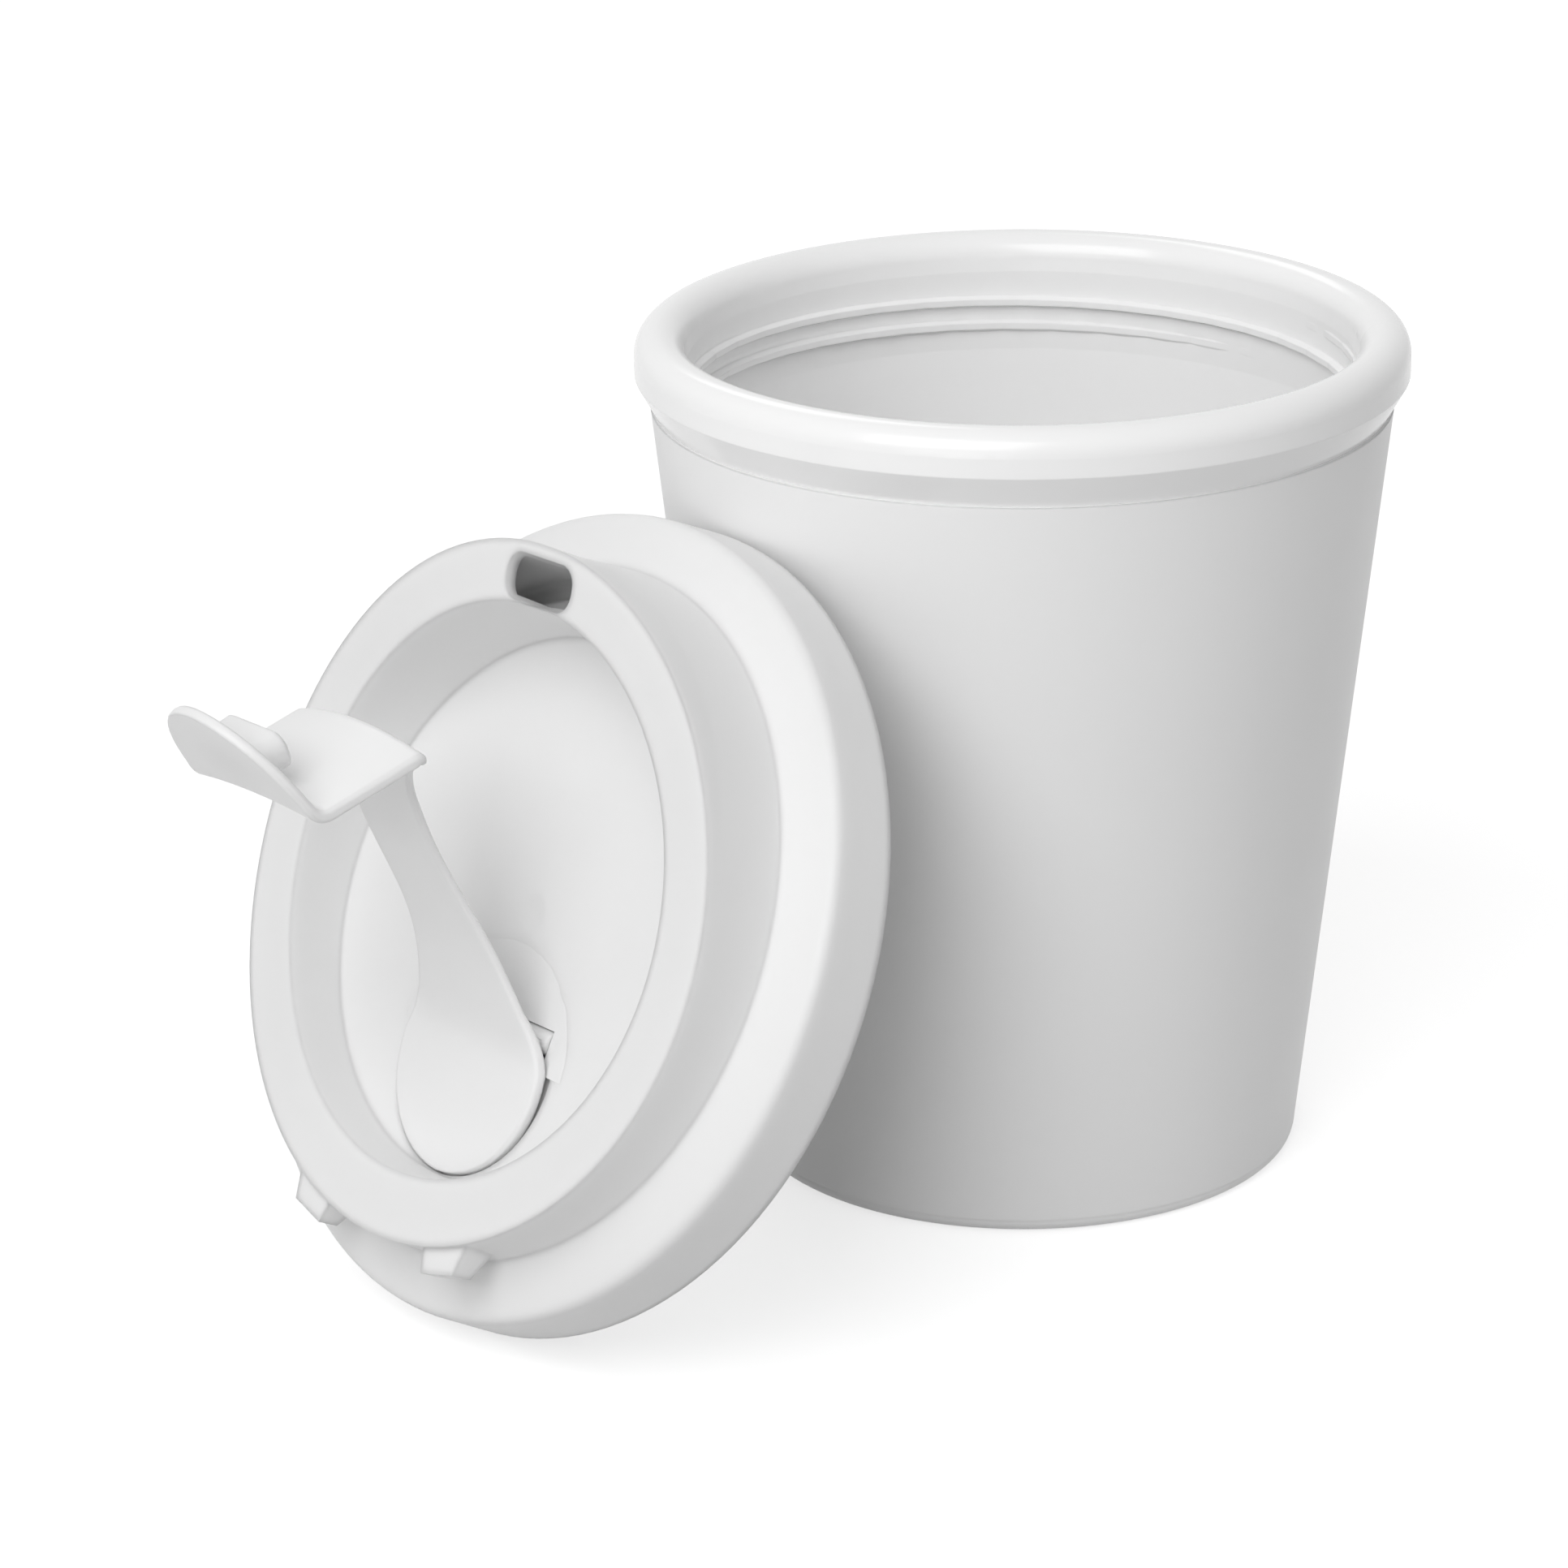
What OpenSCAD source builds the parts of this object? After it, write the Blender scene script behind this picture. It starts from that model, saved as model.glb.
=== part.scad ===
// Reusable takeaway coffee cup: double wall cup, screw lid taken off and leaning on it, stopper arm open.
// The origin is the centre of the foot on the table, +Z up, millimetres.

/* [Cup] */
// Height of the cup to the top of its rim
cup_h = 102.8; // [95:0.1:115]
// Radius of the outer wall where it meets the table
foot_r = 33.9; // [31:0.1:36]
// Radius that the outer wall gains for each millimetre of height
wall_flare = 0.1098; // [0.09:0.001:0.12]
// Thickness of the outer shell
shell_t = 1.7; // [1.4:0.1:2]
// Rounding of the foot's outer corner
foot_round = 1.6; // [1:0.1:2]
// Height of the recess under the foot
foot_recess = 2.2; // [1.5:0.1:3]
// Width of the ring that the cup stands on
foot_ring = 3.2; // [2.5:0.1:4]
// Height from the shell's top edge to the top of the rim
rim_h = 9.2; // [8.5:0.1:9.8]
// Largest radius of the rolled rim
rim_r = 46; // [45.8:0.1:46.1]
// Radius of the rim's round crest
rim_round = 3; // [2.8:0.1:3.1]
// Step by which the shell's edge stands proud of the rim's lower edge
rim_step = 0.35; // [0.2:0.05:0.5]

/* [Liner] */
// Inner radius of the liner in the thread zone
liner_r = 39.8; // [39.6:0.05:39.9]
// Thickness of the liner
liner_t = 1.5; // [1.3:0.1:1.6]
// Height of the liner's floor above the table
liner_floor_z = 6.4; // [6:0.1:9]
// Inner radius of the liner at its floor, before the corner rounding
liner_floor_r = 30.6; // [29:0.1:30.8]
// Rounding where the liner's wall meets its floor
liner_round = 3; // [2:0.1:4]
// Height of the locating band under the rim
spigot_h = 3; // [2:0.1:5]
// Clearance of the locating band in the shell's mouth
seat_fit = 0.08; // [0.05:0.01:0.2]
// Depth of the straight thread zone below the rim's top
thread_zone = 14.5; // [14:0.1:18]

/* [Screw thread] */
// Rise of the thread in one turn
thread_pitch = 3.13; // [3:0.01:3.3]
// Turns of the cup's ridge
thread_turns = 1.98; // [1.5:0.01:2.2]
// Height of the ridge above its wall
thread_h = 0.8; // [0.6:0.05:0.9]
// Width of the ridge at its root
thread_w = 1.7; // [1.4:0.1:1.9]
// Depth of the ridge's upper end below the rim's top
thread_top = 5.7; // [5.4:0.1:6.5]
// Compass direction of the ridge's upper end
thread_start = 33; // [0:1:90]
// Turns of the lid's ridge
lid_thread_turns = 1.3; // [1:0.1:1.5]

/* [Lid flange and collar] */
// Radius of the flange's skirt at its lower edge
skirt_r = 47.8; // [47.7:0.05:48]
// Draft of the skirt, the radius lost from its lower edge to its shoulder
skirt_draft = 0.35; // [0.1:0.05:0.6]
// Depth of the skirt below the shoulder
skirt_h = 7.05; // [6.5:0.05:8]
// Thickness of the lid's walls
lid_t = 1.5; // [1.3:0.1:1.6]
// Rounding of the flange's shoulder
shoulder_round = 1.2; // [0.8:0.1:1.4]
// Height of the crease between flange and ring
crease_z = 2.9; // [2.5:0.1:3.3]
// Radius of the crease
crease_r = 40.6; // [40.4:0.05:41]
// Outer radius of the screw collar
collar_r = 38.2; // [38:0.05:38.4]
// Thickness of the screw collar
collar_t = 1.8; // [1.6:0.1:1.9]
// Depth of the collar below the shoulder
collar_h = 14.4; // [13:0.1:15]
// Bevel of the collar's lower edge
collar_edge = 0.4; // [0.2:0.1:0.5]

/* [Lid ring and bowl] */
// Outer radius of the ring at its crest
ring_r = 40; // [39.8:0.05:40.2]
// Height of the crest on the drinking side
ring_front_h = 17.7; // [17:0.1:18.5]
// Height of the crest at the sides
ring_side_h = 11.56; // [11.2:0.05:12]
// Height of the crest opposite the drinking side
ring_back_h = 9.95; // [9.6:0.05:10.4]
// Radius of the bowl's mouth
bowl_mouth_r = 33.1; // [32.8:0.1:33.4]
// Radius of the bowl where the wall meets the floor
bowl_foot_r = 31.9; // [31.8:0.05:32.2]
// Rounding between the bowl's wall and floor
bowl_round = 1.2; // [0.8:0.1:1.4]
// Height of the bowl's floor at its centre
floor_z = 2; // [1.9:0.05:2.1]
// Rise of the dished floor from its centre to the wall
floor_rise = 1.3; // [1.2:0.05:1.35]
// Radius of the gate dimple at the centre
gate_r = 2.2; // [1.5:0.1:3]
// Depth of the gate dimple
gate_depth = 0.3; // [0.2:0.05:0.4]

/* [Drinking slot and lugs] */
// Length of the drinking slot
slot_len = 12; // [11:0.1:12.5]
// Width of the drinking slot
slot_w = 5.4; // [5.2:0.1:5.6]
// Distance of the slot from the lid's centre
slot_y = 35.8; // [35.6:0.1:36]
// Corner rounding of the slot
slot_round = 2.4; // [2:0.1:2.6]
// Inner edge of each lug, measured from the lid's middle plane
lug_inner = 7.5; // [6:0.1:9]
// Width of each lug
lug_w = 9; // [7:0.1:10]
// Reach of the lugs from the lid's centre
lug_reach = 42.4; // [41.5:0.1:43]
// Height of the lugs' underside
lug_z = 5; // [4.5:0.1:6]
// Height of the lugs' top
lug_top = 9.1; // [8.5:0.1:9.3]

/* [Stopper hinge] */
// Distance of the hinge axis from the lid's centre, away from the drinking slot
hinge_back = 13.16; // [13:0.02:13.4]
// Height of the hinge axis
hinge_z = 1.4; // [1.3:0.02:1.45]
// Radius of the hinge pins
pin_r = 0.75; // [0.65:0.05:0.8]
// Radial running clearance of the pins
pin_play = 0.05; // [0.02:0.01:0.09]
// Radius of the barrel that carries the pins
barrel_r = 1.5; // [1.3:0.1:1.6]
// Half length of the barrel
barrel_x = 10.6; // [10:0.1:10.7]
// Reach of the pins from the middle plane
pin_x = 13; // [12.6:0.1:13.2]
// Opening angle of the arm as shown
arm_open = 45.5; // [20:0.5:46]

/* [Stopper arm] */
// Radius of the finger pad
pad_r = 12.6; // [12:0.1:12.7]
// Thickness of the finger pad
pad_t = 2; // [1.8:0.1:2.1]
// Radial clearance of the pad in its recess
pad_play = 0.45; // [0.3:0.05:0.6]
// Distance of the open pad's centre from the lid's centre
pad_back = 18.9; // [18.8:0.05:19]
// Height of the open pad's top at its centre
pad_z = 4.13; // [4:0.05:4.2]
// Tilt of the open pad against the lid
pad_tilt = 3.2; // [3:0.1:3.6]
// Thickness of the strap
strap_t = 1; // [0.8:0.05:1.05]
// Half width of the strap at the pad
strap_root_w = 11.3; // [10.5:0.1:11.5]
// Half width of the strap at its waist
strap_waist_w = 6.4; // [6:0.1:7]
// Half width of the strap at the riser
strap_tip_w = 11.2; // [10.5:0.1:11.5]
// Distance from the bend to the strap's waist
strap_waist = 24; // [20:0.5:26]
// Sag of the strap's middle below its ends
strap_sag = 0.85; // [0.7:0.05:0.9]
// Half width of the riser
riser_w = 12; // [11.6:0.1:12.2]
// Distance from the bend to the riser's outer face in the middle
riser_y = 42.8; // [42:0.1:43]
// Radius of the riser's curved outer face
riser_curve = 41; // [38:0.5:44]
// Thickness of the riser
riser_t = 1.5; // [1.3:0.1:1.7]
// Height from the strap's ends to the top of the riser
riser_h = 15.5; // [15:0.1:16]
// Rounding of the riser's lower corners
riser_round = 2.4; // [1.5:0.1:3]
// Half width of the tab
tab_w = 11.4; // [11:0.1:11.6]
// Length of the tab beyond its centre line
tab_len = 12.7; // [12:0.1:13]
// Thickness of the tab
tab_t = 1.75; // [1.5:0.05:1.9]
// Slope of the tab against the strap
tab_slope = 0.3; // [0.25:0.01:0.32]
// Clearance of the plug all round in the slot
plug_play = 0.35; // [0.3:0.05:0.5]
// Depth of the plug's end below the top of the riser
plug_drop = 3.7; // [3.4:0.1:3.8]

/* [Leaning lid] */
// Compass direction in which the leaning lid faces
lid_azimuth = -139; // [-150:0.5:-120]
// Angle between the lid's axis and the vertical
lid_lean = 63.1; // [60:0.1:66]
// Turn of the lid about its own axis
lid_roll = 1.8; // [-10:0.1:10]
// Clearance at the place where the lid touches the cup
lean_gap = 0.05; // [0.02:0.01:0.2]

/* [Hidden] */
round_fn = 144;
eps = 0.01;

// Cup
seat_z = cup_h - rim_h;
function wall_r(z) = foot_r + wall_flare * z;
seat_r = wall_r(seat_z);
shell_floor_top = foot_recess + shell_t;
crest_r = rim_r - rim_round;
crest_z = cup_h - rim_round;
belly_z = seat_z + 3.9;
zone_z = cup_h - thread_zone;

// Circle through three points, as [centre, radius]
function circle3(a, b, c) =
    let (
        m = (a + b) / 2, n = (b + c) / 2,
        u = b - a, v = c - b,
        det = u[0] * v[1] - u[1] * v[0],
        pu = u * m, pv = v * n,
        o = [(pu * v[1] - pv * u[1]) / det, (pv * u[0] - pu * v[0]) / det]
    ) [o, norm(o - a)];

// Lid
ring_top = circle3([-ring_r, ring_back_h], [0, ring_side_h], [ring_r, ring_front_h]);
dish_r = (bowl_foot_r * bowl_foot_r + floor_rise * floor_rise) / (2 * floor_rise);
plate_t = lid_t;
pocket_r = pad_r + pad_play;
pocket_y = -pad_back + 0.2;
pocket_z = pad_z - pad_t - (pad_r + 1) * sin(pad_tilt) - 0.05;
trough_z = hinge_z - barrel_r - 0.35;
flange_edge_z = crease_z - (skirt_r - skirt_draft - shoulder_round - crease_r) * 0.288;

// Stopper arm, in its own frame with the hinge axis as origin and the strap along +Y
strap_y0 = 1.35;
strap_z0 = 3.48;
strap_flat = 31;
function sag_at(s) = -0.35 + (s < strap_flat ? -strap_sag * cos(360 * (s - 11) / 40) : strap_sag);
function half_w(s) = s < strap_waist
    ? strap_waist_w + (strap_root_w - strap_waist_w) * pow((strap_waist - s) / strap_waist, 2.5)
    : strap_waist_w + (strap_tip_w - strap_waist_w) * pow((s - strap_waist) / (40 - strap_waist), 1.2);
pad_rel = [-pad_back + hinge_back, pad_z - hinge_z];
pad_c = [
    pad_rel[0] * cos(arm_open) + pad_rel[1] * sin(arm_open),
    -pad_rel[0] * sin(arm_open) + pad_rel[1] * cos(arm_open)
];
riser_top = strap_z0 + riser_h;
riser_low = strap_z0 + 0.3;
tab_y = strap_y0 + 42.5;
plug_y = slot_y + hinge_back - 0.37;

// Lid pose: the skirt stands on the table and the collar or the skirt touches the cup
lid_lift = skirt_r * sin(lid_lean) + skirt_h * cos(lid_lean);
function reach(r, z) = wall_r(lid_lift - z * cos(lid_lean) + r * sin(lid_lean))
    + z * sin(lid_lean) + r * cos(lid_lean);
lid_dist = lean_gap + max(
    reach(collar_r, collar_h - collar_edge),
    reach(collar_r - collar_edge, collar_h),
    reach(skirt_r, skirt_h)
);

// Ridge of a thread: a closed band swept along a helix, tapered at both ends
module helix_ridge(wall, side, turns, top_z, start) {
    steps = 40;
    count = ceil(turns * steps);
    sink = 0.3;
    ring = [
        for (i = [0:count])
        let (
            t = i / count,
            f = min(1, t * 9, (1 - t) * 9),
            a = start - 360 * turns * t,
            z = top_z - thread_pitch * turns * t,
            root = wall - side * sink,
            tip = root + side * (sink * 0.5 + f * (thread_h + sink * 0.5)),
            w = thread_w / 2
        )
        each [
            [root * cos(a), root * sin(a), z + w],
            [tip * cos(a), tip * sin(a), z + w * 0.45],
            [tip * cos(a), tip * sin(a), z - w * 0.45],
            [root * cos(a), root * sin(a), z - w]
        ]
    ];
    sides = [
        for (i = [0:count - 1]) for (k = [0:3])
        let (a = i * 4 + k, b = i * 4 + (k + 1) % 4)
        each [[a, b, b + 4], [a, b + 4, a + 4]]
    ];
    last = count * 4;
    caps = [[0, 3, 2], [0, 2, 1], [last, last + 1, last + 2], [last, last + 2, last + 3]];
    faces = concat(sides, caps);
    polyhedron(ring, side < 0 ? [for (f = faces) [f[0], f[2], f[1]]] : faces);
}

module outer_shell() {
    in_floor_r = wall_r(shell_floor_top) - shell_t;
    color("white")
    rotate_extrude($fn = round_fn)
    difference() {
        union() {
            polygon([
                [0, 0],
                [foot_r - foot_round, 0],
                [foot_r + foot_round * 0.05, foot_round],
                [wall_r(foot_round), foot_round],
                [seat_r, seat_z],
                [seat_r - shell_t, seat_z],
                [in_floor_r, shell_floor_top],
                [0, shell_floor_top]
            ]);
            translate([foot_r - foot_round + 0.12, foot_round]) circle(foot_round, $fn = 48);
        }
        translate([-1, -1]) square([foot_r - foot_ring + 1, foot_recess + 1]);
    }
}

module inner_liner() {
    out_r = liner_r + liner_t;
    color("snow") {
        rotate_extrude($fn = round_fn) {
            difference() {
                union() {
                    polygon([
                        [0, liner_floor_z - liner_t],
                        [liner_floor_r + liner_t * 0.6, liner_floor_z - liner_t],
                        [liner_floor_r + liner_t, liner_floor_z],
                        [out_r, zone_z],
                        [out_r, seat_z - spigot_h],
                        [wall_r(seat_z - spigot_h) - shell_t - seat_fit, seat_z - spigot_h],
                        [seat_r - shell_t - seat_fit, seat_z],
                        [seat_r - rim_step, seat_z],
                        [rim_r, belly_z],
                        [rim_r, crest_z],
                        [crest_r, crest_z],
                        [crest_r - rim_round, crest_z],
                        [liner_r, crest_z - 1.5],
                        [liner_r, zone_z],
                        [liner_floor_r, liner_floor_z],
                        [0, liner_floor_z]
                    ]);
                    translate([crest_r, crest_z]) circle(rim_round, $fn = 96);
                    translate([liner_floor_r - liner_round, liner_floor_z - eps])
                        square([liner_round + 0.3, liner_round]);
                }
                translate([liner_floor_r - liner_round + 0.32, liner_floor_z + liner_round])
                    circle(liner_round, $fn = 64);
                translate([0, liner_floor_z + liner_round]) square([liner_floor_r - 0.3, 6]);
                translate([-1, liner_floor_z])
                    square([1 + liner_floor_r - liner_round + 0.32, liner_round + 2]);
            }
        }
        helix_ridge(liner_r, -1, thread_turns, cup_h - thread_top, thread_start);
    }
}

// Everything below the ring's slanted top, lowered by drop
module under_top(drop) {
    rotate([90, 0, 90]) translate([0, 0, -60]) linear_extrude(120)
    difference() {
        translate([-60, -30]) square([120, 80]);
        translate([ring_top[0][0], ring_top[0][1] - drop]) circle(ring_top[1], $fn = 1440);
    }
}

// Rounded opening with straight sides, centred, in plan
module slot_plan(len, wid, rad) {
    union() {
        square([len - 2 * rad, wid], center = true);
        square([len, wid - 2 * rad], center = true);
        for (x = [-1, 1]) for (y = [-1, 1])
            translate([x * (len / 2 - rad), y * (wid / 2 - rad)]) circle(rad, $fn = 48);
    }
}

module lid_shell() {
    skirt_top = skirt_r - skirt_draft;
    inner_skirt = skirt_r - lid_t + 0.1;
    rotate_extrude($fn = round_fn) {
        difference() {
            union() {
                polygon([
                    [collar_r - collar_t, -collar_h + collar_edge],
                    [collar_r - collar_t + collar_edge, -collar_h],
                    [collar_r - collar_edge, -collar_h],
                    [collar_r, -collar_h + collar_edge],
                    [collar_r, 1.2],
                    [inner_skirt - 0.3, flange_edge_z - 2],
                    [inner_skirt, flange_edge_z - 2.6],
                    [inner_skirt, -skirt_h],
                    [skirt_r, -skirt_h],
                    [skirt_top, 0],
                    [skirt_top - shoulder_round, flange_edge_z],
                    [crease_r, crease_z],
                    [crease_r - 4, crease_z],
                    [collar_r - collar_t, 0.6]
                ]);
                translate([skirt_top - shoulder_round - 0.05, flange_edge_z - shoulder_round])
                    circle(shoulder_round, $fn = 48);
            }
        }
    }
}

module lid_body_local() {
    difference() {
        union() {
            // Ring, annulus and bowl, cut from one block by the slanted top
            intersection() {
                difference() {
                    rotate_extrude($fn = round_fn)
                        polygon([
                            [0, floor_z - lid_t],
                            [bowl_foot_r + lid_t, floor_z - lid_t],
                            [ring_r + 0.3, 1],
                            [crease_r, crease_z],
                            [ring_r, ring_side_h],
                            [ring_r, 30],
                            [0, 30]
                        ]);
                    // Hollow under the annulus
                    intersection() {
                        rotate_extrude($fn = round_fn)
                            polygon([
                                [bowl_foot_r + lid_t, -20],
                                [bowl_foot_r + lid_t, floor_z],
                                [bowl_mouth_r + lid_t, 25],
                                [ring_r - lid_t, 25],
                                [ring_r - lid_t, 4],
                                [collar_r - collar_t, 0.6],
                                [collar_r - collar_t, -20]
                            ]);
                        under_top(plate_t);
                    }
                }
                under_top(0);
            }
            lid_shell();
            // Recess cup and hinge trough under the floor
            translate([0, pocket_y, pocket_z - lid_t + 0.3])
                cylinder(r = pocket_r + lid_t - 0.1, h = floor_z - pocket_z + lid_t - 0.3, $fn = 96);
            translate([-pin_x - 1.4, -hinge_back - 3.2, trough_z - 1.2])
                cube([2 * pin_x + 2.8, 6.4, floor_z - trough_z + 1.2]);
            // Lugs on the back of the ring
            for (side = [0, 1]) mirror([side, 0, 0])
                translate([lug_inner, -lug_reach, lug_z])
                    cube([lug_w, lug_reach - 36, lug_top - lug_z]);
            translate([0, 0, -2.2])
                helix_ridge(collar_r, 1, lid_thread_turns, -4.6, thread_start);
        }
        // Bowl with its dished floor
        rotate_extrude($fn = round_fn)
        difference() {
            polygon([
                [0, floor_z - 1],
                [bowl_foot_r, floor_z - 1],
                [bowl_foot_r, floor_z + floor_rise],
                [bowl_mouth_r, 16],
                [bowl_mouth_r, 40],
                [0, 40]
            ]);
            difference() {
                translate([-1, floor_z - 3]) square([bowl_foot_r + 3, 3 + floor_rise + bowl_round]);
                translate([0, floor_z + dish_r]) circle(dish_r, $fn = 1440);
            }
        }
        // Recess for the finger pad
        translate([0, pocket_y, pocket_z]) cylinder(r = pocket_r, h = 12, $fn = 144);
        // Trough for the hinge barrel
        intersection() {
            translate([0, pocket_y, trough_z]) cylinder(r = pocket_r, h = 12, $fn = 144);
            translate([-20, -hinge_back - 2, trough_z]) cube([40, 4, 12]);
        }
        // Sockets for the hinge pins
        translate([-pin_x - 0.3, -hinge_back, hinge_z])
            rotate([0, 90, 0]) cylinder(r = pin_r + pin_play, h = 2 * pin_x + 0.6, $fn = 48);
        // Gate dimple
        translate([0, 0, floor_z - gate_depth + (gate_r * gate_r / gate_depth + gate_depth) / 2])
            sphere(r = (gate_r * gate_r / gate_depth + gate_depth) / 2, $fn = 96);
        // Drinking slot
        translate([0, slot_y, 10]) linear_extrude(14) slot_plan(slot_len, slot_w, slot_round);
    }
}

module stopper_arm_local() {
    n = 24;
    strap_end = riser_y;
    top = [for (i = [0:n]) let (s = strap_end * i / n) [s + strap_y0, sag_at(s) + strap_z0]];
    low = [for (i = [n:-1:0]) let (s = strap_end * i / n)
        [s + strap_y0, sag_at(s) + strap_z0 - strap_t]];
    edge = [for (i = [0:n]) let (s = 40 * i / n) [half_w(s), s + strap_y0]];
    mirrored = [for (i = [n:-1:0]) [-edge[i][0], edge[i][1]]];
    tab_pts = [for (i = [0:24]) let (a = 180 * i / 24) [tab_w * cos(a), tab_y + tab_len * sin(a)]];
    riser_cy = strap_y0 + riser_y - riser_curve;
    pad_bend = 4.75;

    // Strap with its sagging profile and waisted outline
    intersection() {
        rotate([90, 0, 90]) translate([0, 0, -20]) linear_extrude(40) polygon(concat(top, low));
        linear_extrude(12)
            polygon(concat(edge, [[strap_tip_w, 45], [-strap_tip_w, 45]], mirrored));
        translate([0, riser_cy, -1]) cylinder(r = riser_curve - 0.2, h = 14, $fn = 288);
    }
    // Riser, a curved plate with rounded lower corners
    intersection() {
        translate([0, riser_cy, 0]) difference() {
            cylinder(r = riser_curve, h = 30, $fn = 288);
            translate([0, 0, -1]) cylinder(r = riser_curve - riser_t, h = 32, $fn = 288);
        }
        translate([0, 60, 0]) rotate([90, 0, 0]) linear_extrude(40) union() {
            translate([-riser_w, riser_low + riser_round])
                square([2 * riser_w, riser_top - riser_low - riser_round]);
            translate([-riser_w + riser_round, riser_low])
                square([2 * (riser_w - riser_round), riser_h]);
            for (x = [-1, 1])
                translate([x * (riser_w - riser_round), riser_low + riser_round])
                    circle(riser_round, $fn = 48);
        }
    }
    // Tab, half an ellipse cut from a sloping slab
    intersection() {
        linear_extrude(30)
            polygon(concat(tab_pts, [[-tab_w, tab_y - 1.6], [tab_w, tab_y - 1.6]]));
        translate([0, tab_y, riser_top - 0.15])
            rotate([atan(tab_slope), 0, 0]) translate([-20, -10, -tab_t]) cube([40, 30, tab_t]);
    }
    // Plug under the tab
    intersection() {
        translate([0, plug_y, riser_top - plug_drop]) linear_extrude(8)
            slot_plan(slot_len - 2 * plug_play, slot_w - 2 * plug_play, slot_round - plug_play);
        translate([0, tab_y, riser_top - 0.15])
            rotate([atan(tab_slope), 0, 0]) translate([-20, -10, -tab_t - 8])
                cube([40, 30, tab_t / 2 + 8]);
    }
    // Finger pad, a disc cut off at the bend
    translate([0, pad_c[0], pad_c[1]]) rotate([pad_tilt - arm_open, 0, 0])
        intersection() {
            translate([0, 0, -pad_t]) cylinder(r = pad_r, h = pad_t, $fn = 144);
            translate([-20, -20, -5]) cube([40, 20 + pad_bend, 10]);
        }
    // Barrel and pins
    translate([-barrel_x, 0, 0]) rotate([0, 90, 0]) cylinder(r = barrel_r, h = 2 * barrel_x, $fn = 64);
    translate([-pin_x, 0, 0]) rotate([0, 90, 0]) cylinder(r = pin_r, h = 2 * pin_x, $fn = 48);
}

// Pose of the lid, taken off and leaning on the cup
module lid_place() {
    rotate([0, 0, lid_azimuth]) translate([lid_dist, 0, lid_lift])
        rotate([0, lid_lean, 0]) rotate([0, 0, 90 + lid_roll]) children();
}

module lid_body() {
    color("whitesmoke") lid_place() lid_body_local();
}

module stopper_arm() {
    color("gainsboro") lid_place()
        translate([0, -hinge_back, hinge_z]) rotate([arm_open, 0, 0]) stopper_arm_local();
}

outer_shell();
inner_liner();
lid_body();
stopper_arm();
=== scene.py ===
"""Looks of a reusable takeaway cup with its screw lid leaning on it and the lid's stopper arm open.

Shapes are given in millimetres and degrees and are put in the frame in metres.
"""
import math

import bmesh
import bpy
from mathutils import Matrix, Vector


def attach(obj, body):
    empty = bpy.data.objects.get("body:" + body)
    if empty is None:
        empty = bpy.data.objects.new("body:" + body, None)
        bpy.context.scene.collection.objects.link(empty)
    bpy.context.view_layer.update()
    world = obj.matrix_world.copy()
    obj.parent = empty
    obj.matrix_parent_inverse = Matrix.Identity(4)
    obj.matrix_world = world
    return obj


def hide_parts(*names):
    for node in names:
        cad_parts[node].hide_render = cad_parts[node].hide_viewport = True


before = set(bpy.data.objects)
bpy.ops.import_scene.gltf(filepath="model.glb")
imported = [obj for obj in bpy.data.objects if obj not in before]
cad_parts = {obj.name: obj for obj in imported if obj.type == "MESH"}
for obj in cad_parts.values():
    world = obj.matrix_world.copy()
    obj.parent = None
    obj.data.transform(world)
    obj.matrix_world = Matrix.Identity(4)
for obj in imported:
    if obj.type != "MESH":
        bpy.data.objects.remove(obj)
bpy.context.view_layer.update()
scene = bpy.context.scene
MM = 0.001

# Camera, fitted to the photograph: position in millimetres, angles in radians
CAMERA_BACK = 646.498
CAMERA_UP = 283.1715
CAMERA_YAW = -0.044629
CAMERA_PITCH = 0.353429
CAMERA_ROLL = 0.0129514
FOCAL_PIXELS = 6953.924
IMAGE_PIXELS = 1932
SENSOR_MM = 36.0


def add_camera():
    sin_y, cos_y = math.sin(CAMERA_YAW), math.cos(CAMERA_YAW)
    sin_p, cos_p = math.sin(CAMERA_PITCH), math.cos(CAMERA_PITCH)
    forward = Vector((sin_y * cos_p, cos_y * cos_p, -sin_p))
    right = Vector((cos_y, -sin_y, 0.0))
    down = forward.cross(right)
    sin_r, cos_r = math.sin(CAMERA_ROLL), math.cos(CAMERA_ROLL)
    rolled_right = cos_r * right + sin_r * down
    rolled_up = sin_r * right - cos_r * down
    facing = Matrix((rolled_right, rolled_up, -forward)).transposed()
    data = bpy.data.cameras.new("camera")
    data.sensor_width = SENSOR_MM
    data.lens = SENSOR_MM * FOCAL_PIXELS / IMAGE_PIXELS
    data.clip_start = 0.01
    data.clip_end = 20.0
    camera = bpy.data.objects.new("camera", data)
    place = Matrix.Translation(Vector((0.0, -CAMERA_BACK, CAMERA_UP)) * MM)
    camera.matrix_world = place @ facing.to_4x4()
    scene.collection.objects.link(camera)
    scene.camera = camera


# Plastics. Noise scales are per metre, edge and depths in millimetres
TONE_SCALE, TONE_SPREAD = 28.0, 0.012
GLOSS_SCALE, GLOSS_SPREAD = 160.0, 0.05
NOISE_DETAIL = 2.0
PLASTIC_IOR = 1.49
COAT_ROUGHNESS = 0.06
GRAIN_STRENGTH = 0.5
EDGE_SAMPLES = 3
GLOW = 0.3
GLOW_DEPTH = 3.0


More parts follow.
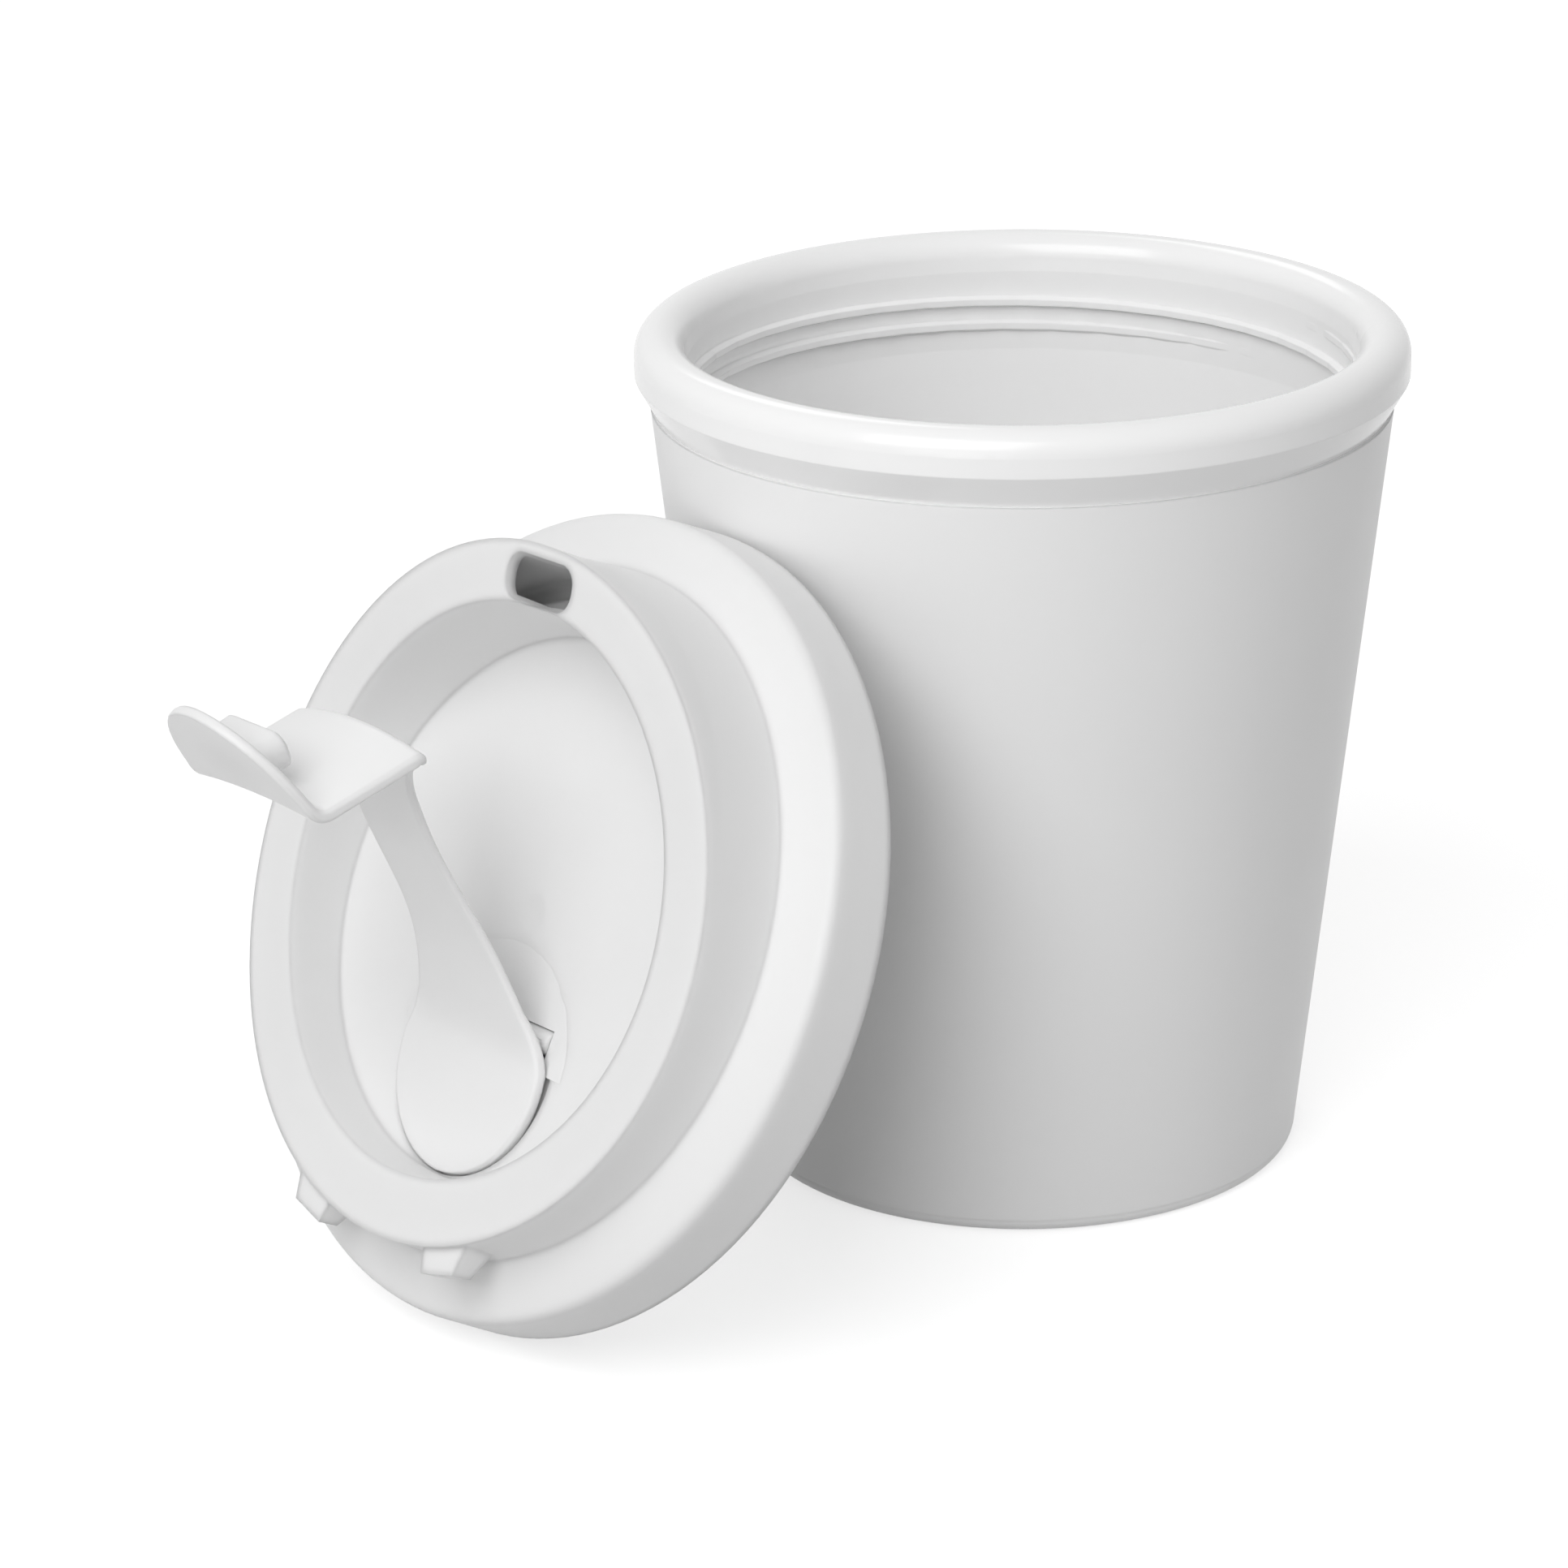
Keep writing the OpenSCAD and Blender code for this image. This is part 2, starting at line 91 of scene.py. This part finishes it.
def plastic(name, grey, roughness, grain, depth, edge, coat=0.0, glow=0.0):
    """Moulded plastic: faint tone and gloss variation, a fine grain and softly rounded edges."""
    material = bpy.data.materials.new(name)
    material.use_nodes = True
    nodes, links = material.node_tree.nodes, material.node_tree.links
    shader = nodes["Principled BSDF"]
    place = nodes.new("ShaderNodeTexCoord")

    def noise(scale):
        node = nodes.new("ShaderNodeTexNoise")
        node.inputs["Scale"].default_value = scale
        node.inputs["Detail"].default_value = NOISE_DETAIL
        links.new(place.outputs["Object"], node.inputs["Vector"])
        return node.outputs["Fac"]

    def around(middle, spread, value):
        node = nodes.new("ShaderNodeMapRange")
        node.inputs["To Min"].default_value = middle - spread
        node.inputs["To Max"].default_value = middle + spread
        links.new(value, node.inputs["Value"])
        return node.outputs["Result"]

    tone = nodes.new("ShaderNodeCombineColor")
    tint = around(grey, TONE_SPREAD, noise(TONE_SCALE))
    for channel in ("Red", "Green", "Blue"):
        links.new(tint, tone.inputs[channel])
    links.new(tone.outputs["Color"], shader.inputs["Base Color"])
    gloss = around(roughness, GLOSS_SPREAD, noise(GLOSS_SCALE))
    links.new(gloss, shader.inputs["Roughness"])
    shader.inputs["IOR"].default_value = PLASTIC_IOR
    shader.inputs["Coat Weight"].default_value = coat
    shader.inputs["Coat Roughness"].default_value = COAT_ROUGHNESS
    shader.inputs["Subsurface Weight"].default_value = glow
    shader.inputs["Subsurface Radius"].default_value = (1.0, 1.0, 1.0)
    shader.inputs["Subsurface Scale"].default_value = GLOW_DEPTH * MM
    rounded = nodes.new("ShaderNodeBevel")
    rounded.samples = EDGE_SAMPLES
    rounded.inputs["Radius"].default_value = edge * MM
    bump = nodes.new("ShaderNodeBump")
    bump.inputs["Strength"].default_value = GRAIN_STRENGTH
    bump.inputs["Distance"].default_value = depth * MM
    links.new(noise(grain), bump.inputs["Height"])
    links.new(rounded.outputs["Normal"], bump.inputs["Normal"])
    links.new(bump.outputs["Normal"], shader.inputs["Normal"])
    return material


SATIN_GRAIN, GLOSSY_GRAIN = 900.0, 350.0
LOOKS = {
    "outer_shell": plastic("shell_satin", 0.90, 0.42, SATIN_GRAIN, 0.030, 0.5),
    "inner_liner": plastic("liner_gloss", 0.94, 0.20, GLOSSY_GRAIN, 0.008, 0.25, coat=0.05),
    "lid_body": plastic("lid_satin", 0.85, 0.40, SATIN_GRAIN, 0.030, 1.3, glow=GLOW),
    "lid_floor": plastic("lid_floor_satin", 0.84, 0.40, SATIN_GRAIN, 0.030, 0.05),
    "stopper_arm": plastic("arm_satin", 0.88, 0.40, SATIN_GRAIN, 0.025, 0.5, glow=GLOW),
}


def dress(piece, look):
    piece.data.materials.clear()
    piece.data.materials.append(LOOKS[look])


def add_piece(name, mesh, look, body):
    piece = bpy.data.objects.new(name, mesh)
    scene.collection.objects.link(piece)
    dress(piece, look)
    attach(piece, body)
    return piece


# Place of the lid and of the open arm in it, the same as in the solids
LID_AZIMUTH, LID_LEAN, LID_ROLL = -139.0, 63.1, 1.8
LID_AWAY, LID_UP = 71.9107, 45.8176
HINGE_BACK, HINGE_UP, ARM_OPEN = 13.16, 1.4, 45.5


def turn(degrees, axis):
    return Matrix.Rotation(math.radians(degrees), 4, axis)


LID_PLACE = (
    turn(LID_AZIMUTH, "Z")
    @ Matrix.Translation((LID_AWAY, 0.0, LID_UP))
    @ turn(LID_LEAN, "Y")
    @ turn(90.0 + LID_ROLL, "Z")
)
ARM_PLACE = LID_PLACE @ Matrix.Translation((0.0, -HINGE_BACK, HINGE_UP)) @ turn(ARM_OPEN, "X")

SAME_POINT = 0.002
SHARP_EDGE = 35.0


def make_mesh(name, points, faces, place):
    """A closed mesh in its place: equal points joined, smooth but for its sharp edges."""
    mesh = bpy.data.meshes.new(name)
    mesh.from_pydata([(place @ Vector(p)) * MM for p in points], [], faces)
    mesh.validate()
    work = bmesh.new()
    work.from_mesh(mesh)
    bmesh.ops.remove_doubles(work, verts=work.verts, dist=SAME_POINT * MM)
    bmesh.ops.recalc_face_normals(work, faces=work.faces)
    work.to_mesh(mesh)
    work.free()
    mesh.shade_smooth()
    mesh.set_sharp_from_angle(angle=math.radians(SHARP_EDGE))
    return mesh


def stack_rings(rings):
    """Points and faces of a closed body through rings of equal length, capped at both ends."""
    count = len(rings[0])
    faces = [tuple(reversed(range(count)))]
    for level in range(len(rings) - 1):
        low, high = level * count, (level + 1) * count
        for i in range(count):
            j = (i + 1) % count
            faces.append((low + i, low + j, high + j, high + i))
    top = (len(rings) - 1) * count
    faces.append(tuple(range(top, top + count)))
    return [p for ring in rings for p in ring], faces


def thicken(points, faces, depth):
    """Close a top surface downwards into a plate of even depth."""
    count, sides = len(points), {}
    for face in faces:
        for a, b in zip(face, face[1:] + face[:1]):
            sides[a, b] = True
    walls = [(b, a, a + count, b + count) for a, b in sides if (b, a) not in sides]
    floor = [tuple(i + count for i in reversed(face)) for face in faces]
    return points + [(x, y, z - depth) for x, y, z in points], faces + walls + floor


# Stopper arm in its own frame, with the hinge along X: first its ribbon of pad, strap, riser, tab
PAD_R, PAD_T, PAD_TILT = 12.6, 1.6, 42.3
PAD_Y, PAD_Z = -2.076, 6.007
PAD_LAST_ANGLE, PAD_ANGLE_STEP = 92, 4

BEND_START = 1.8
BEND_MIDDLE = (1.0, 2.3, 11.6, 1.5, 0.0)
BEND_END = 4.0

STRAP_Y, STRAP_Z, STRAP_T = 1.35, 3.13, 1.0
STRAP_WAVE, STRAP_LOWEST, STRAP_HIGHEST = 0.85, 11.0, 31.0
STRAP_WAIST = 6.1
ROOT_FLARE, ROOT_FLARE_END, ROOT_FLARE_POWER = 5.2, 26.0, 2.2
TIP_FLARE, TIP_FLARE_START, TIP_FLARE_LONG = 4.1, 33.0, 7.5
STRAP_PLAIN_END = 37
STRAP_LAST = (38.0, 39.0, 40.0, 40.8)
STRAP_CURVE_LONG = 4.0

RISER_Y, RISER_TOP, RISER_T, RISER_BEND = 43.4, 18.1, 1.5, 41.0
RISER_HALF, RISER_STEPS = 11.6, 12
FOOT_SOFT, FOOT_HALF, FOOT_T = 0.9, 11.2, 1.1
TOP_SOFT, TOP_CURVE = 1.6, 0.6

TAB_HALF, TAB_LONG, TAB_SLOPE, TAB_T, TAB_CURVE = 11.5, 12.7, 0.3, 1.25, 0.3
TAB_START, TAB_TIP_HALF = 1.8, 0.12

RIBBON_COLUMNS = 28
EDGE_SOFT = 0.35


def strap_top(s):
    """The strap's upper face at s: it dips behind the hinge and rises to the riser."""
    rate = 180.0 / (STRAP_HIGHEST - STRAP_LOWEST)
    wave = -math.cos(math.radians(rate * (s - STRAP_LOWEST))) if s < STRAP_HIGHEST else 1.0
    return s + STRAP_Y, STRAP_Z + STRAP_WAVE * wave


def strap_half(s):
    if s < ROOT_FLARE_END:
        share = (ROOT_FLARE_END - s) / ROOT_FLARE_END
        return STRAP_WAIST + ROOT_FLARE * share**ROOT_FLARE_POWER
    return STRAP_WAIST + TIP_FLARE * (max(s - TIP_FLARE_START, 0.0) / TIP_FLARE_LONG) ** 2


def corner(start, middle, end, count):
    """Stations of a soft corner between two straight runs."""
    made = []
    for i in range(count + 1):
        t = i / count
        made.append(tuple(
            (1 - t) ** 2 * a + 2 * t * (1 - t) * b + t * t * c
            for a, b, c in zip(start, middle, end)
        ))
    return made


def pad_station(t):
    tilt = math.radians(PAD_TILT)
    ahead, across = (math.cos(tilt), -math.sin(tilt)), (math.sin(tilt), math.cos(tilt))
    half = math.sqrt(max(PAD_R**2 - t * t, 0.01))
    y = PAD_Y + t * ahead[0] - across[0] * PAD_T / 2
    z = PAD_Z + t * ahead[1] - across[1] * PAD_T / 2
    return y, z, half, PAD_T, 0.0


def strap_station(s, curve=0.0):
    y, z = strap_top(s)
    return y, z - STRAP_T / 2, strap_half(s), STRAP_T, curve


def arm_stations():
    """Stations of the ribbon's middle: y, z, half width, thickness and curve in plan."""
    angles = range(0, PAD_LAST_ANGLE + 1, PAD_ANGLE_STEP)
    made = [pad_station(-PAD_R * math.cos(math.radians(a))) for a in angles]
    made += corner(pad_station(BEND_START), BEND_MIDDLE, strap_station(BEND_END), 12)
    made += [strap_station(float(s)) for s in range(int(BEND_END) + 1, STRAP_PLAIN_END + 1)]
    for s in STRAP_LAST:
        made.append(strap_station(s, min(1.0, (s - STRAP_PLAIN_END) / STRAP_CURVE_LONG)))

    foot_z = strap_station(STRAP_LAST[0])[1]
    made += corner(
        (RISER_Y - FOOT_SOFT, foot_z, FOOT_HALF, FOOT_T, 1.0),
        (RISER_Y, foot_z, 11.5, 1.25, 1.0),
        (RISER_Y, foot_z + FOOT_SOFT, RISER_HALF, RISER_T, 1.0),
        6,
    )
    low, high = foot_z + FOOT_SOFT, RISER_TOP - TOP_SOFT
    for i in range(1, RISER_STEPS):
        share = i / RISER_STEPS
        curve = 1.0 - (1.0 - TOP_CURVE) * share
        made.append((RISER_Y, low + (high - low) * share, RISER_HALF, RISER_T, curve))
    made += corner(
        (RISER_Y, high, RISER_HALF, RISER_T, TOP_CURVE),
        (RISER_Y, RISER_TOP, RISER_HALF, 1.4, 0.45),
        (RISER_Y + TOP_SOFT, RISER_TOP + TOP_SOFT * TAB_SLOPE, TAB_HALF, TAB_T, TAB_CURVE),
        8,
    )
    for a in range(10, 91, 4):
        u = TAB_LONG * math.sin(math.radians(a))
        if u > TAB_START:
            half = max(TAB_HALF * math.cos(math.radians(a)), TAB_TIP_HALF)
            curve = TAB_CURVE * (1.0 - u / TAB_LONG)
            made.append((RISER_Y + u, RISER_TOP + TAB_SLOPE * u, half, TAB_T, curve))
    return made


def ribbon(stations):
    """A closed ribbon through its stations, with a small chamfer along its four edges."""
    rings = []
    for i, (y, z, half, thick, curve) in enumerate(stations):
        before, after = stations[max(i - 1, 0)], stations[min(i + 1, len(stations) - 1)]
        along = Vector((after[0] - before[0], after[1] - before[1])).normalized()
        normal = Vector((-along.y, along.x))
        soft = min(EDGE_SOFT, thick * 0.3, half * 0.5)
        ring = []
        for side in (1, -1):
            for k in range(RIBBON_COLUMNS + 1):
                x = (half - soft) * (2.0 * k / RIBBON_COLUMNS - 1.0) * side
                off = normal * side * thick / 2
                bow = curve * x * x / (2.0 * RISER_BEND)
                ring.append((-x, y + off.x - bow, z + off.y))
            bow = curve * half * half / (2.0 * RISER_BEND)
            for level in (side, -side):
                off = normal * level * (thick / 2 - soft)
                ring.append((-half * side, y + off.x - bow, z + off.y))
        rings.append(ring)
    return stack_rings(rings)


# Plug under the tab: height of each layer with its inset; the last one lies in the tab
PLUG_Y, PLUG_LONG, PLUG_WIDE, PLUG_CORNER = 48.59, 11.3, 4.7, 2.05
PLUG_LAYERS = ((15.28, 0.7), (15.38, 0.3), (15.7, 0.0), (None, 0.0))
CORNER_STEPS = 8

# Web that carries the bend on the barrel, then the barrel's end with its pin
WEB_HALF = 9.6
WEB_OUTLINE = (
    (0.0, 0.0), (1.1, 0.9), (2.2, 1.65), (4.4, 2.15), (4.4, 2.6), (1.3, 2.4), (-0.3, 2.9),
)
BARREL_END = ((10.4, 1.48), (10.6, 1.3), (10.6, 0.6), (12.8, 0.6), (13.0, 0.4))
BARREL_SIDES = 40


def rounded_plan(length, width, radius):
    made = []
    for quarter, (sx, sy) in enumerate(((1, 1), (-1, 1), (-1, -1), (1, -1))):
        for i in range(CORNER_STEPS + 1):
            a = math.radians(90.0 * (quarter + i / CORNER_STEPS))
            made.append((
                sx * (length / 2 - radius) + radius * math.cos(a),
                sy * (width / 2 - radius) + radius * math.sin(a),
            ))
    return made


def plug():
    rings = []
    for z, inset in PLUG_LAYERS:
        plan = rounded_plan(PLUG_LONG - 2 * inset, PLUG_WIDE - 2 * inset, PLUG_CORNER - inset)
        ring = []
        for x, y in plan:
            in_tab = RISER_TOP + TAB_SLOPE * (PLUG_Y + y - RISER_Y)
            ring.append((x, PLUG_Y + y, in_tab if z is None else z))
        rings.append(ring)
    return stack_rings(rings)


def web():
    return stack_rings([[(x, y, z) for y, z in WEB_OUTLINE] for x in (-WEB_HALF, WEB_HALF)])


def barrel():
    profile = [(-x, radius) for x, radius in reversed(BARREL_END)] + list(BARREL_END)
    rings = []
    for x, radius in profile:
        ring = []
        for i in range(BARREL_SIDES):
            a = 2.0 * math.pi * i / BARREL_SIDES
            ring.append((x, radius * math.cos(a), radius * math.sin(a)))
        rings.append(ring)
    return stack_rings(rings)


def make_arm():
    parts = {
        "arm_ribbon": ribbon(arm_stations()),
        "arm_plug": plug(),
        "arm_web": web(),
        "arm_barrel": barrel(),
    }
    for name, (points, faces) in parts.items():
        mesh = make_mesh(name, points, faces, ARM_PLACE)
        piece = add_piece(name, mesh, "stopper_arm", "stopper")
        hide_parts("stopper_arm")


# Lugs in the lid's frame: where the solid's blocks are, and the shape that they get
LUG_NEAR_Y, LUG_FACE_Y, LUG_LOW, LUG_HIGH = -36.0, -42.0, 4.9, 9.2
LUG_INNER, LUG_OUTER, LUG_REACH = 7.5, 16.5, 0.06
LUG_WALL_R = 41.2
LUG_INNER_FACE, LUG_OUTER_FACE = (9.9, -41.9), (15.2, -40.6)
LUG_INNER_ROOT, LUG_OUTER_ROOT = 9.0, 16.0
LUG_UNDERSIDE, LUG_LIFTED_BELOW = 6.3, 6.0

# Dished floor of the bowl, and the plate that closes it round the hinge
FLOOR_Z, FLOOR_RISE, FLOOR_R = 2.0, 1.3, 31.9
RECESS_Y = -18.7
PLATE_R, PLATE_DEPTH, PLATE_LIFT = 17.0, 0.35, 0.04
PLATE_NEAR, PLATE_FAR, CHEEK_NEAR = -11.66, -1.6, -16.8
CHEEK_X, CHEEK_SHARE, TIP_HALF = 10.7, 0.8, 0.9
SINK_FROM, SINK_LONG, SINK = 14.6, 2.4, 0.3
CHEEK_ROWS, PLATE_ROWS = 8, 20
CHEEK_COLUMNS, MIDDLE_COLUMNS = 12, 16

# Seat under the pad, behind the hinge
SEAT_R, SEAT_FRONT, SEAT_LOW, SEAT_HIGH = 13.2, -15.3, 1.25, 1.72
SEAT_STEPS, SEAT_FIRST, SEAT_SPAN = 60, 165.0, 210.0


def shape_lug_point(p):
    """Move a corner point of a lug block to the lug's own shape; False for any other point."""
    inner = abs(abs(p.x) - LUG_INNER) < LUG_REACH
    outer = abs(abs(p.x) - LUG_OUTER) < LUG_REACH
    if p.y > LUG_NEAR_Y or not LUG_LOW < p.z < LUG_HIGH or not (inner or outer):
        return False
    side = math.copysign(1.0, p.x)
    radius = math.hypot(p.x, p.y)
    if p.y < LUG_FACE_Y:
        x, p.y = LUG_INNER_FACE if inner else LUG_OUTER_FACE
        p.x = x * side
        if p.z < LUG_LIFTED_BELOW:
            p.z = LUG_UNDERSIDE
    elif radius < LUG_WALL_R:
        p.x = (LUG_INNER_ROOT if inner else LUG_OUTER_ROOT) * side
        p.y = -math.sqrt(radius * radius - p.x * p.x)
    return True


def hinge_floor():
    """Floor plate in front of the hinge, with a cheek over each pin; its outer rim sinks away."""
    ys = [CHEEK_NEAR + (PLATE_NEAR - CHEEK_NEAR) * i / CHEEK_ROWS for i in range(CHEEK_ROWS)]
    ys += [PLATE_NEAR + (PLATE_FAR - PLATE_NEAR) * i / PLATE_ROWS for i in range(PLATE_ROWS + 1)]
    columns = 2 * CHEEK_COLUMNS + MIDDLE_COLUMNS
    points, faces = [], []
    for row, y in enumerate(ys):
        last = row == len(ys) - 1
        half = TIP_HALF if last else math.sqrt(PLATE_R**2 - (y - RECESS_Y) ** 2)
        inner = min(CHEEK_X, half * CHEEK_SHARE)
        step = (half - inner) / CHEEK_COLUMNS
        xs = [-half + step * k for k in range(CHEEK_COLUMNS)]
        xs += [-inner + 2.0 * inner * k / MIDDLE_COLUMNS for k in range(MIDDLE_COLUMNS + 1)]
        xs += [inner + step * k for k in range(1, CHEEK_COLUMNS + 1)]
        for x in xs:
            beyond = (math.hypot(x, y - RECESS_Y) - SINK_FROM) / SINK_LONG
            lift = PLATE_LIFT - SINK * min(max(beyond, 0.0), 1.0)
            dish = FLOOR_RISE * (x * x + y * y) / FLOOR_R**2
            points.append((x, y, FLOOR_Z + dish + lift))
    wide = columns + 1
    for row in range(len(ys) - 1):
        for k in range(columns):
            in_middle = CHEEK_COLUMNS <= k < CHEEK_COLUMNS + MIDDLE_COLUMNS
            if row < CHEEK_ROWS and in_middle:
                continue
            a = row * wide + k
            faces.append((a, a + 1, a + wide + 1, a + wide))
    return thicken(points, faces, PLATE_DEPTH)


def pad_seat():
    rings = []
    for z in (SEAT_LOW, SEAT_HIGH):
        ring = []
        for i in range(SEAT_STEPS + 1):
            a = math.radians(SEAT_FIRST + SEAT_SPAN * i / SEAT_STEPS)
            ring.append((SEAT_R * math.cos(a), min(RECESS_Y + SEAT_R * math.sin(a), SEAT_FRONT), z))
        rings.append(ring)
    return stack_rings(rings)


def make_lid():
    """The solid's own mesh with its lugs shaped, and the floor round the hinge closed."""
    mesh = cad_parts["lid_body"].data.copy()
    to_lid = LID_PLACE.inverted()
    for vertex in mesh.vertices:
        p = to_lid @ (vertex.co / MM)
        if shape_lug_point(p):
            vertex.co = (LID_PLACE @ p) * MM
    lid = add_piece("lid", mesh, "lid_body", "cup")
    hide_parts("lid_body")
    for name, shape in (("lid_hinge_floor", hinge_floor()), ("lid_pad_seat", pad_seat())):
        mesh = make_mesh(name, *shape, LID_PLACE)
        add_piece(name, mesh, "lid_floor", "cup")


# Light and surroundings, in metres and watts
AMBIENT = 0.46
FLOOR_LIFT = 0.66
FLOOR_GREY = 0.56
FLOOR_ROUGHNESS = 0.9
FLOOR_HALF = 3.0
FLOOR_DROP = 0.00002
MIDDLE = (-0.02, -0.03, 0.05)
LAMPS = {
    "key_left": ((-0.48, -1.02, 1.05), 1.1, 1.1, 11.6),
    "window": ((-0.25, 0.9, 0.9), 0.35, 0.5, 1.0),
    "low_fill": ((-0.35, -1.1, 0.15), 0.6, 0.4, 1.0),
}


def backdrop_rays(nodes, links):
    """1 for rays that show the background itself: from the camera, a gloss or through glass."""
    path = nodes.new("ShaderNodeLightPath")
    seen = path.outputs["Is Camera Ray"]
    for kind in ("Is Glossy Ray", "Is Transmission Ray"):
        either = nodes.new("ShaderNodeMath")
        either.operation = "MAXIMUM"
        links.new(seen, either.inputs[0])
        links.new(path.outputs[kind], either.inputs[1])
        seen = either.outputs["Value"]
    return seen


def add_world():
    world = bpy.data.worlds.new("studio")
    scene.world = world
    world.use_nodes = True
    nodes, links = world.node_tree.nodes, world.node_tree.links
    background = nodes["Background"]
    strength = nodes.new("ShaderNodeMapRange")
    strength.inputs["To Min"].default_value = AMBIENT
    strength.inputs["To Max"].default_value = 1.0
    links.new(backdrop_rays(nodes, links), strength.inputs["Value"])
    links.new(strength.outputs["Result"], background.inputs["Strength"])
    background.inputs["Color"].default_value = (1.0, 1.0, 1.0, 1.0)


def add_floor():
    corners = [(-1, -1), (1, -1), (1, 1), (-1, 1)]
    mesh = bpy.data.meshes.new("floor")
    points = [(x * FLOOR_HALF, y * FLOOR_HALF, -FLOOR_DROP) for x, y in corners]
    mesh.from_pydata(points, [], [(0, 1, 2, 3)])
    floor = bpy.data.objects.new("floor", mesh)
    scene.collection.objects.link(floor)
    material = bpy.data.materials.new("floor_white")
    material.use_nodes = True
    nodes, links = material.node_tree.nodes, material.node_tree.links
    shader = nodes["Principled BSDF"]
    shader.inputs["Base Color"].default_value = (FLOOR_GREY, FLOOR_GREY, FLOOR_GREY, 1.0)
    shader.inputs["Roughness"].default_value = FLOOR_ROUGHNESS
    shader.inputs["Specular IOR Level"].default_value = 0.0
    shader.inputs["Emission Color"].default_value = (1.0, 1.0, 1.0, 1.0)
    lift = nodes.new("ShaderNodeMath")
    lift.operation = "MULTIPLY"
    lift.inputs[1].default_value = FLOOR_LIFT
    links.new(backdrop_rays(nodes, links), lift.inputs[0])
    links.new(lift.outputs["Value"], shader.inputs["Emission Strength"])
    mesh.materials.append(material)


def add_lamp(name, place, width, height, power):
    data = bpy.data.lights.new(name, "AREA")
    data.shape = "RECTANGLE"
    data.size, data.size_y = width, height
    data.energy = power
    lamp = bpy.data.objects.new(name, data)
    spot = Vector(place)
    aim = (Vector(MIDDLE) - spot).to_track_quat("-Z", "Y")
    lamp.matrix_world = Matrix.Translation(spot) @ aim.to_matrix().to_4x4()
    scene.collection.objects.link(lamp)


for node_name in ("outer_shell", "inner_liner"):
    dress(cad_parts[node_name], node_name)
make_lid()
make_arm()
add_camera()
add_world()
add_floor()
for lamp_name, settings in LAMPS.items():
    add_lamp(lamp_name, *settings)
scene.view_settings.view_transform = "Standard"
